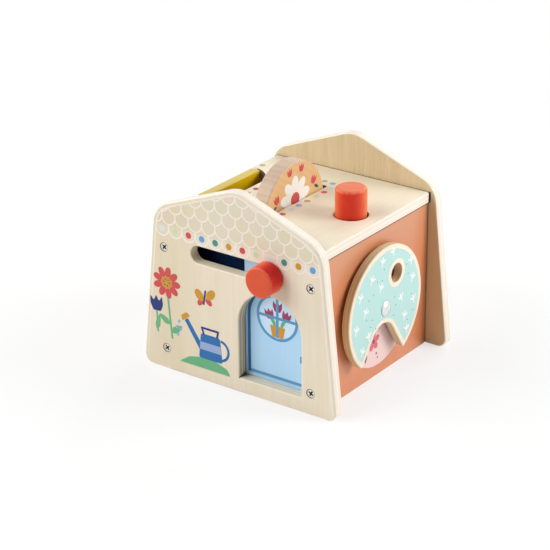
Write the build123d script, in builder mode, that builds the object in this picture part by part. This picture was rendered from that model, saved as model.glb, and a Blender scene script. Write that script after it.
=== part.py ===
from build123d import *
import os
from math import asin, atan, cos, degrees, pi, radians, sin

os.makedirs("parts", exist_ok=True)

# Wooden hide-and-seek house, in millimetres.
# X runs along the front to the right, Y to the back and Z up.
# The origin is the centre of the underside, on the floor.

# Gables: the two house-shaped end panels that everything is screwed between
gable_width = 170.0
gable_shoulder_width = 143.4
gable_shoulder_height = 125.2
gable_peak_height = 152.8
gable_thickness = 8.2
gable_foot_radius = 7.0
gable_shoulder_radius = 20.0
gable_peak_radius = 22.0
gable_edge_ease = 1.2

# Box between the gables
inner_depth = 135.4
body_width = 132.3
wall_thickness = 7.8
base_thickness = 8.0
roof_height = 120.6
roof_thickness = 7.8
roof_overhang = 1.4
roof_end_gap = 0.4
roof_corner_radius = 1.4
board_edge_ease = 0.8

# Clearances
seat_gap = 0.3
slide_gap = 0.5
guide_gap = 0.3
running_gap = 0.08
glue_gap = 0.05

# Doorway, sliding door and its knob
doorway_x = 28.2
doorway_width = 53.6
doorway_sill = 11.0
doorway_spring = 54.3
mouth_ease = 0.8
door_width = 57.0
door_height = 99.6
door_thickness = 6.0
door_foot_gap = 0.4
door_edge_ease = 0.6
knob_height = 96.4
knob_slot_level = 96.9
knob_slot_length = 79.2
knob_slot_height = 13.2
knob_radius = 11.4
knob_length = 13.8
knob_ease = 2.0
spigot_radius = 5.75
door_guide_thickness = 3.5
lower_guide_height = 9.0
upper_guide_height = 10.8
scene_board_thickness = 3.0

# Peek disc, which rises through the roof
peek_x = -6.6
peek_y = -4.1
peek_centre_height = 115.1
peek_radius = 35.8
peek_thickness = 12.0
peek_edge_ease = 1.0
peek_flat_rise = 4.7
peek_slot_width = 13.2
peek_slot_length = 77.7
peek_slot_corner = 1.0
peek_stem_radius = 6.0
peek_neck_radius = 4.5
peek_stem_socket = 14.0
peek_collar_radius = 10.0
peek_collar_thickness = 5.0

# Push button that lifts the peek disc
button_x = 44.7
button_y = -0.4
button_radius = 11.4
button_stand_out = 20.8
button_ease = 2.4
button_hole_radius = 12.3
button_flange_length = 34.0
button_flange_width = 18.0
button_flange_thickness = 4.0
button_stem_radius = 5.0
button_stem_socket = 12.0
button_travel = 17.0

# Rocker, shelf and bracket under the roof
shelf_thickness = 8.0
shelf_width = 59.0
shelf_ease = 1.0
cleat_side = 6.0
rocker_pivot_height = 36.0
rocker_height = 8.0
rocker_width = 14.0
rocker_overreach = 6.5
rocker_cheek_gap = 0.5
bracket_cheek_thickness = 7.0
bracket_length = 26.0
bracket_seat_height = 24.0
rocker_pin_radius = 2.5

# Flap in the left wall, the finger opening in the roof above it and the nook behind it
flap_width = 67.0
flap_thickness = 7.8
flap_top_height = 121.0
flap_corner_radius = 2.0
flap_edge_ease = 1.0
flap_side_gap = 0.6
flap_sill_height = 8.0
flap_foot_gap = 0.4
flap_pin_radius = 1.5
flap_pin_bite = 7.0
flap_stop_thickness = 4.0
flap_stop_width = 10.0
flap_stop_overlap = 3.0
flap_stop_low = 22.0
flap_stop_high = 100.0
finger_opening_length = 71.4
finger_opening_depth = 23.8
partition_thickness = 5.0
partition_setback = 0.6

# Turning disc on the right wall
disc_height = 56.0
disc_radius = 46.7
disc_thickness = 6.1
disc_wall_gap = 2.6
disc_edge_ease = 0.8
disc_tip_radius = 1.5
notch_vertex_y = -2.5
notch_vertex_rise = 0.7
notch_left_angle = -126.0
notch_right_angle = -56.8
notch_apex_radius = 15.5
finger_hole_radius = 7.2
finger_hole_reach = 26.3
finger_hole_angle = 59.3
bolt_radius = 2.5
bolt_head_radius = 5.8
bolt_head_height = 2.3
bolt_tail = 1.0
spacer_radius = 9.0
washer_radius = 6.0
washer_thickness = 1.0
nut_across_flats = 8.0
nut_thickness = 4.0

# Wood screws through the gables into the wall ends, and the knob's own screw
screw_x = 63.2
screw_low = 16.7
screw_high = 95.7
screw_radius = 1.75
screw_head_radius = 3.5
screw_length = 28.0
screw_sink = 0.15
knob_screw_radius = 1.5
knob_screw_head_radius = 3.1
knob_screw_head_height = 1.6
knob_screw_bite = 12.0

# Places that follow from the sizes above
half_depth = inner_depth / 2 + gable_thickness
wall_face = body_width / 2
wall_inner = wall_face - wall_thickness
roof_underside = roof_height - roof_thickness
roof_side = wall_face + roof_overhang
roof_length = inner_depth - 2 * roof_end_gap
front_face = Plane.XZ.offset(half_depth)
front_joint = Plane.XZ.offset(inner_depth / 2)
back_joint = Plane(origin=(0, inner_depth / 2, 0), x_dir=(-1, 0, 0), z_dir=(0, 1, 0))
back_face = Plane(origin=(0, half_depth, 0), x_dir=(-1, 0, 0), z_dir=(0, 1, 0))
screw_bore_depth = screw_length - gable_thickness + seat_gap
screw_points = [(x, z) for x in (-screw_x, screw_x) for z in (screw_low, screw_high)]

# Door and guides, from the front panel inwards
door_foot = base_thickness + door_foot_gap
door_front = inner_depth / 2 - slide_gap
door_back = door_front - door_thickness
guide_front = door_back - slide_gap
guide_back = guide_front - door_guide_thickness
scene_back = guide_back - scene_board_thickness
door_x = wall_inner - slide_gap - door_width / 2
door_travel = 2 * wall_inner - door_width - 2 * slide_gap

# Rocker: the disc and the button ride on its two ends, and it stands tilted at rest
peek_foot_height = peek_centre_height - peek_radius + peek_flat_rise
rocker_x = (peek_x + button_x) / 2
rocker_y = (peek_y + button_y) / 2
rocker_arm = (button_x - peek_x) / 2
rocker_tilt = atan(button_travel / 2 / rocker_arm)
shelf_top = peek_foot_height - seat_gap
shelf_underside = shelf_top - shelf_thickness

# Flap and partition
flap_outer = wall_face + seat_gap
flap_inner = flap_outer - flap_thickness
flap_pivot_x = -(flap_outer - flap_thickness / 2)
flap_pivot_height = flap_sill_height + flap_foot_gap + flap_thickness / 2
flap_opening_width = flap_width + 2 * flap_side_gap
partition_outer = roof_side - finger_opening_depth - partition_setback
partition_inner = partition_outer - partition_thickness

# Turning disc
disc_back = wall_face + disc_wall_gap
disc_front = disc_back + disc_thickness
finger_hole_y = finger_hole_reach * cos(radians(finger_hole_angle))
finger_hole_height = disc_height + finger_hole_reach * sin(radians(finger_hole_angle))


def stem_end_above_pivot(side, end_radius):
    """Height of a stem's round tip above the rocker's pivot at rest, side -1 left or +1 right."""
    reach = end_radius + seat_gap + rocker_height / 2 + side * rocker_arm * sin(rocker_tilt)
    return reach / cos(rocker_tilt) - end_radius


# House outline shared by both gables
with BuildSketch() as gable_outline:
    with BuildLine():
        Polyline(
            (-gable_width / 2, 0),
            (gable_width / 2, 0),
            (gable_shoulder_width / 2, gable_shoulder_height),
            (0, gable_peak_height),
            (-gable_shoulder_width / 2, gable_shoulder_height),
            close=True,
        )
    make_face()
    fillet(gable_outline.vertices().sort_by(Axis.Y)[-1], gable_peak_radius)
    fillet(gable_outline.vertices().group_by(Axis.Y)[1], gable_shoulder_radius)
    fillet(gable_outline.vertices().group_by(Axis.Y)[0], gable_foot_radius)

# Front panel with the arched doorway and the knob's slot
with BuildPart() as front_panel:
    with BuildSketch(front_face):
        add(gable_outline.sketch)
    extrude(amount=-gable_thickness)
    fillet(front_panel.faces().filter_by(Axis.Y).edges(), gable_edge_ease)
    with BuildSketch(front_face):
        doorway_left = doorway_x - doorway_width / 2
        doorway_right = doorway_x + doorway_width / 2
        with BuildLine():
            Polyline(
                (doorway_left, doorway_spring),
                (doorway_left, doorway_sill),
                (doorway_right, doorway_sill),
                (doorway_right, doorway_spring),
            )
            ThreePointArc(
                (doorway_left, doorway_spring),
                (doorway_x, doorway_spring + doorway_width / 2),
                (doorway_right, doorway_spring),
            )
        make_face()
        with Locations((0, knob_slot_level)):
            SlotOverall(knob_slot_length, knob_slot_height)
    extrude(amount=-gable_thickness, mode=Mode.SUBTRACT)
    mouths = front_panel.faces().sort_by(Axis.Y)[0].inner_wires()
    fillet([edge for mouth in mouths for edge in mouth.edges()], mouth_ease)
    with Locations(front_face):
        with Locations(*screw_points):
            CounterSinkHole(screw_radius, screw_head_radius, counter_sink_angle=90)
front_panel.part.label = "front_panel"
export_step(front_panel.part, "parts/front_panel.step")

# Back panel, plain but for its screws
with BuildPart() as back_panel:
    with BuildSketch(back_face):
        add(gable_outline.sketch)
    extrude(amount=-gable_thickness)
    fillet(back_panel.faces().filter_by(Axis.Y).edges(), gable_edge_ease)
    with Locations(back_face):
        with Locations(*screw_points):
            CounterSinkHole(screw_radius, screw_head_radius, counter_sink_angle=90)
back_panel.part.label = "back_panel"
export_step(back_panel.part, "parts/back_panel.step")

# Right wall, with the turning disc's bolt hole
with BuildPart() as right_wall:
    with BuildSketch(Plane.YZ.offset(wall_inner)):
        with Locations((0, roof_underside / 2)):
            Rectangle(inner_depth, roof_underside)
        with Locations((0, disc_height)):
            Circle(bolt_radius + glue_gap, mode=Mode.SUBTRACT)
    extrude(amount=wall_thickness)
    fillet(right_wall.faces().sort_by(Axis.X)[-1].edges().filter_by(Axis.Z), board_edge_ease)
    with Locations(front_joint, back_joint):
        with Locations(*screw_points):
            Hole(screw_radius, depth=screw_bore_depth)
right_wall.part.label = "right_wall"
export_step(right_wall.part, "parts/right_wall.step")

# Left wall: two posts and a sill round the flap, drilled for its hinge pins
with BuildPart() as left_wall:
    with BuildSketch(Plane.YZ.offset(-wall_face)):
        with Locations((0, roof_underside / 2)):
            Rectangle(inner_depth, roof_underside)
        with Locations((0, flap_sill_height)):
            Rectangle(
                flap_opening_width,
                roof_underside,
                align=(Align.CENTER, Align.MIN),
                mode=Mode.SUBTRACT,
            )
    extrude(amount=wall_thickness)
    fillet(left_wall.faces().sort_by(Axis.X)[0].edges().filter_by(Axis.Z), board_edge_ease)
    with Locations(front_joint, back_joint):
        with Locations(*screw_points):
            Hole(screw_radius, depth=screw_bore_depth)
    with BuildSketch(Plane.XZ.offset(-flap_opening_width / 2 - flap_pin_bite)):
        with Locations((flap_pivot_x, flap_pivot_height)):
            Circle(flap_pin_radius + glue_gap)
    extrude(amount=flap_opening_width + 2 * flap_pin_bite, mode=Mode.SUBTRACT)
left_wall.part.label = "left_wall"
export_step(left_wall.part, "parts/left_wall.step")

# Base panel
with BuildPart() as base_panel:
    with BuildSketch():
        Rectangle(2 * wall_inner, inner_depth)
    extrude(amount=base_thickness)
base_panel.part.label = "base_panel"
export_step(base_panel.part, "parts/base_panel.step")

# Roof panel, with the peek slot, the button hole and the finger opening over the flap
with BuildPart() as roof_panel:
    with BuildSketch(Plane.XY.offset(roof_underside)):
        RectangleRounded(2 * roof_side, roof_length, roof_corner_radius)
        with Locations((-roof_side, 0)):
            SlotOverall(finger_opening_length, 2 * finger_opening_depth, rotation=90, mode=Mode.SUBTRACT)
        with Locations((peek_x, peek_y)):
            RectangleRounded(peek_slot_width, peek_slot_length, peek_slot_corner, mode=Mode.SUBTRACT)
        with Locations((button_x, button_y)):
            Circle(button_hole_radius, mode=Mode.SUBTRACT)
    extrude(amount=roof_thickness)
    fillet(roof_panel.faces().sort_by(Axis.X)[-1].edges().filter_by(Axis.Y), board_edge_ease)
    fillet(roof_panel.faces().sort_by(Axis.Z)[-1].inner_wires().edges(), mouth_ease)
roof_panel.part.label = "roof_panel"
export_step(roof_panel.part, "parts/roof_panel.step")

# Sliding door, closed at the right, with the hole for its knob's screw
with BuildPart() as sliding_door:
    with BuildSketch(Plane.XZ.offset(door_front)):
        with Locations((door_x, door_foot + door_height / 2)):
            Rectangle(door_width, door_height)
    extrude(amount=-door_thickness)
    fillet(sliding_door.faces().filter_by(Axis.Y).edges().filter_by(Axis.Z), door_edge_ease)
    with BuildSketch(Plane.XZ.offset(door_front)):
        with Locations((door_x, knob_height)):
            Circle(knob_screw_radius + glue_gap)
    extrude(amount=-door_thickness, mode=Mode.SUBTRACT)
sliding_door.part.label = "sliding_door"
export_step(sliding_door.part, "parts/sliding_door.step")

# Door knob: a turned head in front of the panel and a spigot through the slot to the door
with BuildPart() as door_knob:
    with BuildSketch(Plane.XZ.offset(half_depth + slide_gap)):
        with Locations((door_x, knob_height)):
            Circle(knob_radius)
    extrude(amount=knob_length)
    fillet(door_knob.edges().sort_by(Axis.Y)[0], knob_ease)
    fillet(door_knob.edges().sort_by(Axis.Y)[-1], mouth_ease)
    with BuildSketch(Plane.XZ.offset(door_front)):
        with Locations((door_x, knob_height)):
            Circle(spigot_radius)
    extrude(amount=gable_thickness + 2 * slide_gap)
    with BuildSketch(Plane.XZ.offset(door_front)):
        with Locations((door_x, knob_height)):
            Circle(knob_screw_radius + glue_gap)
    extrude(amount=knob_screw_bite, mode=Mode.SUBTRACT)
door_knob.part.label = "door_knob"
export_step(door_knob.part, "parts/door_knob.step")

# Knob screw, driven from behind the door
with BuildPart() as knob_screw:
    with BuildSketch(Plane.XZ.offset(door_back - knob_screw_head_height)):
        with Locations((door_x, knob_height)):
            Circle(knob_screw_head_radius)
    extrude(amount=knob_screw_head_height)
    fillet(knob_screw.edges().sort_by(Axis.Y)[-1], knob_screw_head_height / 2)
    with BuildSketch(Plane.XZ.offset(door_back)):
        with Locations((door_x, knob_height)):
            Circle(knob_screw_radius)
    extrude(amount=door_thickness + knob_screw_bite - slide_gap)
knob_screw.part.label = "knob_screw"
export_step(knob_screw.part, "parts/knob_screw.step")

# Door guides: a strip along the foot and one along the top, behind the door
with BuildPart() as door_guide_lower:
    with BuildSketch(Plane.XZ.offset(guide_front)):
        with Locations((0, base_thickness)):
            Rectangle(2 * wall_inner, lower_guide_height, align=(Align.CENTER, Align.MIN))
    extrude(amount=-door_guide_thickness)
    chamfer(door_guide_lower.edges().filter_by(Axis.X).group_by(Axis.Z)[-1].sort_by(Axis.Y)[0], board_edge_ease)
door_guide_lower.part.label = "door_guide_lower"
export_step(door_guide_lower.part, "parts/door_guide_lower.step")

with BuildPart() as door_guide_upper:
    with BuildSketch(Plane.XZ.offset(guide_front)):
        with Locations((0, roof_underside)):
            Rectangle(2 * wall_inner, upper_guide_height, align=(Align.CENTER, Align.MAX))
    extrude(amount=-door_guide_thickness)
    chamfer(door_guide_upper.edges().filter_by(Axis.X).group_by(Axis.Z)[0].sort_by(Axis.Y)[0], board_edge_ease)
door_guide_upper.part.label = "door_guide_upper"
export_step(door_guide_upper.part, "parts/door_guide_upper.step")

# Scene board: the picture that the sliding door uncovers
with BuildPart() as front_scene_board:
    with BuildSketch(Plane.XZ.offset(guide_back)):
        with Locations((0, base_thickness)):
            Rectangle(2 * wall_inner, roof_underside - base_thickness, align=(Align.CENTER, Align.MIN))
    extrude(amount=-scene_board_thickness)
front_scene_board.part.label = "front_scene_board"
export_step(front_scene_board.part, "parts/front_scene_board.step")

# Side partition: the back of the nook behind the flap
with BuildPart() as side_partition:
    with BuildSketch(Plane.YZ.offset(-partition_outer)):
        with Locations((-scene_back, base_thickness)):
            Rectangle(
                scene_back + inner_depth / 2,
                roof_underside - base_thickness,
                align=(Align.MIN, Align.MIN),
            )
    extrude(amount=partition_thickness)
side_partition.part.label = "side_partition"
export_step(side_partition.part, "parts/side_partition.step")

# Side flap: stands in the left wall and drops outwards about its two pins
with BuildPart() as side_flap:
    with BuildSketch(Plane.XZ.offset(-flap_width / 2)):
        with Locations((flap_pivot_x, flap_pivot_height)):
            Circle(flap_thickness / 2)
            Rectangle(
                flap_thickness,
                flap_top_height - flap_pivot_height,
                align=(Align.CENTER, Align.MIN),
            )
    extrude(amount=flap_width)
    fillet(side_flap.edges().filter_by(Axis.X).group_by(Axis.Z)[-1], flap_corner_radius)
    top_edges = side_flap.edges().filter_by(Axis.Y).group_by(Axis.Z)[-1]
    fillet(top_edges, flap_edge_ease)
    with BuildSketch(Plane.XZ.offset(-flap_width / 2)):
        with Locations((flap_pivot_x, flap_pivot_height)):
            Circle(flap_pin_radius + running_gap)
    extrude(amount=flap_pin_bite + slide_gap, mode=Mode.SUBTRACT)
    with BuildSketch(Plane.XZ.offset(flap_width / 2)):
        with Locations((flap_pivot_x, flap_pivot_height)):
            Circle(flap_pin_radius + running_gap)
    extrude(amount=-flap_pin_bite - slide_gap, mode=Mode.SUBTRACT)
side_flap.part.label = "side_flap"
export_step(side_flap.part, "parts/side_flap.step")

# Flap hinge pins, one in each post
with BuildPart() as flap_hinge_pins:
    for side in (-1, 1):
        with BuildSketch(Plane.XZ.offset(side * (flap_width / 2 - flap_pin_bite))):
            with Locations((flap_pivot_x, flap_pivot_height)):
                Circle(flap_pin_radius)
        extrude(amount=side * (2 * flap_pin_bite + flap_side_gap))
flap_hinge_pins.part.label = "flap_hinge_pins"
export_step(flap_hinge_pins.part, "parts/flap_hinge_pins.step")

# Flap stops: strips inside the posts that the closed flap leans on
flap_stops = {"flap_stop_front": -1, "flap_stop_back": 1}
for node, side in flap_stops.items():
    stop_y = side * (flap_width / 2 - flap_stop_overlap + flap_stop_width / 2)
    with BuildPart() as flap_stop:
        with BuildSketch(Plane.YZ.offset(-wall_inner)):
            with Locations((stop_y, (flap_stop_low + flap_stop_high) / 2)):
                Rectangle(flap_stop_width, flap_stop_high - flap_stop_low)
        extrude(amount=flap_stop_thickness)
        chamfer(flap_stop.faces().sort_by(Axis.X)[-1].edges(), board_edge_ease)
    flap_stop.part.label = node
    export_step(flap_stop.part, f"parts/{node}.step")

# Peek disc: a thick round of solid wood, cut flat below where it sits on the shelf
with BuildPart() as peek_disc:
    with BuildSketch(Plane.YZ.offset(peek_x - peek_thickness / 2)):
        with Locations((peek_y, peek_centre_height)):
            Circle(peek_radius)
        with Locations((peek_y, peek_foot_height)):
            Rectangle(
                2 * peek_radius,
                peek_radius,
                align=(Align.CENTER, Align.MAX),
                mode=Mode.SUBTRACT,
            )
    extrude(amount=peek_thickness)
    fillet(peek_disc.faces().filter_by(Axis.X).edges().filter_by(GeomType.CIRCLE), peek_edge_ease)
    with BuildSketch(Plane.XY.offset(peek_foot_height)):
        with Locations((peek_x, peek_y)):
            Circle(peek_neck_radius + glue_gap)
    extrude(amount=peek_stem_socket, mode=Mode.SUBTRACT)
peek_disc.part.label = "peek_disc"
export_step(peek_disc.part, "parts/peek_disc.step")

# Peek stem: a dowel glued into the disc, with a round tip that rides on the rocker
peek_tip = rocker_pivot_height + stem_end_above_pivot(-1, peek_stem_radius)
with BuildPart() as peek_stem:
    with BuildSketch(Plane.XZ.offset(-peek_y)):
        with BuildLine():
            Polyline(
                (peek_x, peek_tip),
                (peek_x, peek_foot_height + peek_stem_socket),
                (peek_x + peek_neck_radius, peek_foot_height + peek_stem_socket),
                (peek_x + peek_neck_radius, peek_foot_height),
                (peek_x + peek_stem_radius, peek_foot_height),
                (peek_x + peek_stem_radius, peek_tip + peek_stem_radius),
            )
            RadiusArc(
                (peek_x, peek_tip),
                (peek_x + peek_stem_radius, peek_tip + peek_stem_radius),
                -peek_stem_radius,
            )
        make_face()
    revolve(axis=Axis((peek_x, peek_y, 0), (0, 0, 1)))
peek_stem.part.label = "peek_stem"
export_step(peek_stem.part, "parts/peek_stem.step")

# Peek collar: meets the shelf from below when the disc is fully up
peek_collar_top = shelf_underside - seat_gap - button_travel
with BuildPart() as peek_collar:
    with BuildSketch(Plane.XY.offset(peek_collar_top)):
        with Locations((peek_x, peek_y)):
            Circle(peek_collar_radius)
            Circle(peek_stem_radius + glue_gap, mode=Mode.SUBTRACT)
    extrude(amount=-peek_collar_thickness)
    chamfer(peek_collar.faces().sort_by(Axis.Z)[0].outer_wire().edges(), board_edge_ease)
peek_collar.part.label = "peek_collar"
export_step(peek_collar.part, "parts/peek_collar.step")

# Push button: a turned head through the roof, with a flange below and a stem to the rocker
button_foot = roof_underside - seat_gap
button_top = roof_height + button_stand_out
with BuildPart() as push_button:
    with BuildSketch(Plane.XY.offset(button_foot)):
        with Locations((button_x, button_y)):
            Circle(button_radius)
    extrude(amount=button_top - button_foot)
    fillet(push_button.edges().sort_by(Axis.Z)[-1], button_ease)
    with BuildSketch(Plane.XY.offset(button_foot)):
        with Locations((button_x, button_y)):
            Circle(button_stem_radius + glue_gap)
    extrude(amount=button_stem_socket, mode=Mode.SUBTRACT)
push_button.part.label = "push_button"
export_step(push_button.part, "parts/push_button.step")

with BuildPart() as button_flange:
    with BuildSketch(Plane.XY.offset(button_foot)):
        with Locations((button_x, button_y)):
            SlotOverall(button_flange_length, button_flange_width, rotation=90)
            Circle(button_stem_radius + glue_gap, mode=Mode.SUBTRACT)
    extrude(amount=-button_flange_thickness)
    chamfer(button_flange.faces().sort_by(Axis.Z)[0].outer_wire().edges(), board_edge_ease)
button_flange.part.label = "button_flange"
export_step(button_flange.part, "parts/button_flange.step")

button_tip = rocker_pivot_height + stem_end_above_pivot(1, button_stem_radius)
with BuildPart() as button_stem:
    with BuildSketch(Plane.XZ.offset(-button_y)):
        with BuildLine():
            Polyline(
                (button_x, button_tip),
                (button_x, button_foot + button_stem_socket),
                (button_x + button_stem_radius, button_foot + button_stem_socket),
                (button_x + button_stem_radius, button_tip + button_stem_radius),
            )
            RadiusArc(
                (button_x, button_tip),
                (button_x + button_stem_radius, button_tip + button_stem_radius),
                -button_stem_radius,
            )
        make_face()
    revolve(axis=Axis((button_x, button_y, 0), (0, 0, 1)))
button_stem.part.label = "button_stem"
export_step(button_stem.part, "parts/button_stem.step")

# Mechanism shelf: guides both stems and carries the peek disc at rest
with BuildPart() as mechanism_shelf:
    with BuildSketch(Plane.XY.offset(shelf_underside)):
        with Locations(((wall_inner - partition_inner) / 2, rocker_y)):
            Rectangle(wall_inner + partition_inner, shelf_width)
        with Locations((peek_x, peek_y)):
            Circle(peek_stem_radius + guide_gap, mode=Mode.SUBTRACT)
        with Locations((button_x, button_y)):
            Circle(button_stem_radius + guide_gap, mode=Mode.SUBTRACT)
    extrude(amount=shelf_thickness)
    fillet(mechanism_shelf.faces().filter_by(Axis.Z).edges().filter_by(Axis.X), shelf_ease)
mechanism_shelf.part.label = "mechanism_shelf"
export_step(mechanism_shelf.part, "parts/mechanism_shelf.step")

# Shelf cleats: square battens on the partition and on the right wall
shelf_cleats = {"shelf_cleat_left": -partition_inner, "shelf_cleat_right": wall_inner - cleat_side}
for node, cleat_x in shelf_cleats.items():
    with BuildPart() as shelf_cleat:
        with BuildSketch(Plane.XY.offset(shelf_underside)):
            with Locations((cleat_x, rocker_y)):
                Rectangle(cleat_side, shelf_width, align=(Align.MIN, Align.CENTER))
        extrude(amount=-cleat_side)
        chamfer(shelf_cleat.faces().sort_by(Axis.Z)[0].edges().filter_by(Axis.Y), board_edge_ease)
    shelf_cleat.part.label = node
    export_step(shelf_cleat.part, f"parts/{node}.step")

# Rocker lever, tilted at rest with the button's end up
rocker_length = 2 * (rocker_arm + rocker_overreach)
with BuildPart() as rocker_lever:
    with BuildSketch(Plane.XZ.offset(-rocker_y)):
        with Locations((rocker_x, rocker_pivot_height)):
            SlotOverall(rocker_length, rocker_height, rotation=degrees(rocker_tilt))
            Circle(rocker_pin_radius + running_gap, mode=Mode.SUBTRACT)
    extrude(amount=rocker_width / 2, both=True)
rocker_lever.part.label = "rocker_lever"
export_step(rocker_lever.part, "parts/rocker_lever.step")

# Rocker bracket: a block on the base with two cheeks that hold the pin
bracket_half_width = rocker_width / 2 + rocker_cheek_gap + bracket_cheek_thickness
bracket_cheek_radius = bracket_cheek_thickness
with BuildPart() as rocker_bracket:
    with BuildSketch(Plane.XZ.offset(-rocker_y)):
        with Locations((rocker_x, base_thickness)):
            Rectangle(
                bracket_length,
                bracket_seat_height - base_thickness,
                align=(Align.CENTER, Align.MIN),
            )
        with BuildLine():
            foot_left = (rocker_x - bracket_length / 2, bracket_seat_height)
            foot_right = (rocker_x + bracket_length / 2, bracket_seat_height)
            crown_left = (rocker_x - bracket_cheek_radius, rocker_pivot_height)
            crown_right = (rocker_x + bracket_cheek_radius, rocker_pivot_height)
            Polyline(crown_left, foot_left, foot_right, crown_right)
            ThreePointArc(
                crown_left,
                (rocker_x, rocker_pivot_height + bracket_cheek_radius),
                crown_right,
            )
        make_face()
        with Locations((rocker_x, rocker_pivot_height)):
            Circle(rocker_pin_radius + glue_gap, mode=Mode.SUBTRACT)
    extrude(amount=bracket_half_width, both=True)
    with BuildSketch(Plane.XY.offset(bracket_seat_height)):
        with Locations((rocker_x, rocker_y)):
            Rectangle(2 * bracket_length, rocker_width + 2 * rocker_cheek_gap)
    extrude(amount=rocker_pivot_height, mode=Mode.SUBTRACT)
rocker_bracket.part.label = "rocker_bracket"
export_step(rocker_bracket.part, "parts/rocker_bracket.step")

# Rocker pin
with BuildPart() as rocker_pin:
    with BuildSketch(Plane.XZ.offset(-rocker_y)):
        with Locations((rocker_x, rocker_pivot_height)):
            Circle(rocker_pin_radius)
    extrude(amount=bracket_half_width, both=True)
rocker_pin.part.label = "rocker_pin"
export_step(rocker_pin.part, "parts/rocker_pin.step")

# Wedge-shaped notch of the turning disc, drawn about the disc's centre
notch_reach = 2 * disc_radius
with BuildSketch() as notch_outline:
    with BuildLine():
        Polyline(
            (notch_vertex_y, notch_vertex_rise),
            (
                notch_vertex_y + notch_reach * cos(radians(notch_left_angle)),
                notch_vertex_rise + notch_reach * sin(radians(notch_left_angle)),
            ),
            (
                notch_vertex_y + notch_reach * cos(radians(notch_right_angle)),
                notch_vertex_rise + notch_reach * sin(radians(notch_right_angle)),
            ),
            close=True,
        )
    make_face()
    fillet(notch_outline.vertices().sort_by(Axis.Y)[-1], notch_apex_radius)

# Turning disc, with its notch, finger hole and bolt hole
with BuildPart() as turning_disc:
    with BuildSketch(Plane.YZ.offset(disc_back)) as disc_outline:
        with Locations((0, disc_height)):
            Circle(disc_radius)
            add(notch_outline.sketch, mode=Mode.SUBTRACT)
        fillet(disc_outline.vertices().sort_by(Axis.Y)[:2], disc_tip_radius)
        with Locations((0, disc_height)):
            Circle(bolt_radius + running_gap, mode=Mode.SUBTRACT)
        with Locations((finger_hole_y, finger_hole_height)):
            Circle(finger_hole_radius, mode=Mode.SUBTRACT)
    extrude(amount=disc_thickness)
    for face in turning_disc.faces().filter_by(Axis.X).sort_by(Axis.X):
        fillet(face.outer_wire().edges(), disc_edge_ease)
turning_disc.part.label = "turning_disc"
export_step(turning_disc.part, "parts/turning_disc.step")

# Spacer ring between the wall and the turning disc
with BuildPart() as disc_spacer:
    with BuildSketch(Plane.YZ.offset(wall_face)):
        with Locations((0, disc_height)):
            Circle(spacer_radius)
            Circle(bolt_radius + glue_gap, mode=Mode.SUBTRACT)
    extrude(amount=disc_wall_gap - seat_gap)
disc_spacer.part.label = "disc_spacer"
export_step(disc_spacer.part, "parts/disc_spacer.step")

# Pivot bolt: a domed head on a plain shank
bolt_head_back = disc_front + seat_gap
bolt_head_front = bolt_head_back + bolt_head_height
bolt_end = wall_inner - washer_thickness - nut_thickness - bolt_tail
dome_radius = (bolt_head_radius**2 + bolt_head_height**2) / (2 * bolt_head_height)
with BuildPart() as disc_pivot_bolt:
    with BuildSketch(Plane.XY.offset(disc_height)):
        with BuildLine():
            Polyline(
                (bolt_head_front, 0),
                (bolt_end, 0),
                (bolt_end, bolt_radius),
                (bolt_head_back, bolt_radius),
                (bolt_head_back, bolt_head_radius),
            )
            RadiusArc((bolt_head_back, bolt_head_radius), (bolt_head_front, 0), dome_radius)
        make_face()
    revolve(axis=Axis((0, 0, disc_height), (1, 0, 0)))
disc_pivot_bolt.part.label = "disc_pivot_bolt"
export_step(disc_pivot_bolt.part, "parts/disc_pivot_bolt.step")

# Washer and nut on the inside of the wall
with BuildPart() as disc_washer:
    with BuildSketch(Plane.YZ.offset(wall_inner)):
        with Locations((0, disc_height)):
            Circle(washer_radius)
            Circle(bolt_radius + glue_gap, mode=Mode.SUBTRACT)
    extrude(amount=-washer_thickness)
disc_washer.part.label = "disc_washer"
export_step(disc_washer.part, "parts/disc_washer.step")

with BuildPart() as disc_nut:
    with BuildSketch(Plane.YZ.offset(wall_inner - washer_thickness)):
        with Locations((0, disc_height)):
            RegularPolygon(nut_across_flats / 2, 6, major_radius=False)
            Circle(bolt_radius + glue_gap, mode=Mode.SUBTRACT)
    extrude(amount=-nut_thickness)
disc_nut.part.label = "disc_nut"
export_step(disc_nut.part, "parts/disc_nut.step")

# One countersunk wood screw, its head's top at the origin and its point down
with BuildPart() as wood_screw:
    with BuildSketch(Plane.XZ):
        with BuildLine():
            Polyline(
                (0, 0),
                (screw_head_radius - screw_sink, 0),
                (screw_radius - glue_gap, screw_radius + screw_sink - screw_head_radius),
                (screw_radius - glue_gap, 2 * screw_radius - screw_length),
                (0, -screw_length),
                close=True,
            )
        make_face()
    revolve(axis=Axis.Z)

# Gable screws, front and back
gable_screws = {"front_screws": front_face, "back_screws": back_face}
for node, face in gable_screws.items():
    with BuildPart() as screws:
        with Locations(face.offset(-screw_sink)):
            with Locations(*screw_points):
                add(wood_screw.part)
    screws.part.label = node
    export_step(screws.part, f"parts/{node}.step")

print("door travel", round(door_travel, 3))
print("rocker pivot", round(rocker_x, 3), round(rocker_y, 3), "swing", round(2 * degrees(rocker_tilt), 4))
print("flap pivot", round(flap_pivot_x, 3), round(flap_pivot_height, 3))
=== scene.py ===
from math import atan2, cos, degrees, hypot, pi, radians, sin

import bmesh
import bpy
from mathutils import Euler, Matrix, Vector


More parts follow.
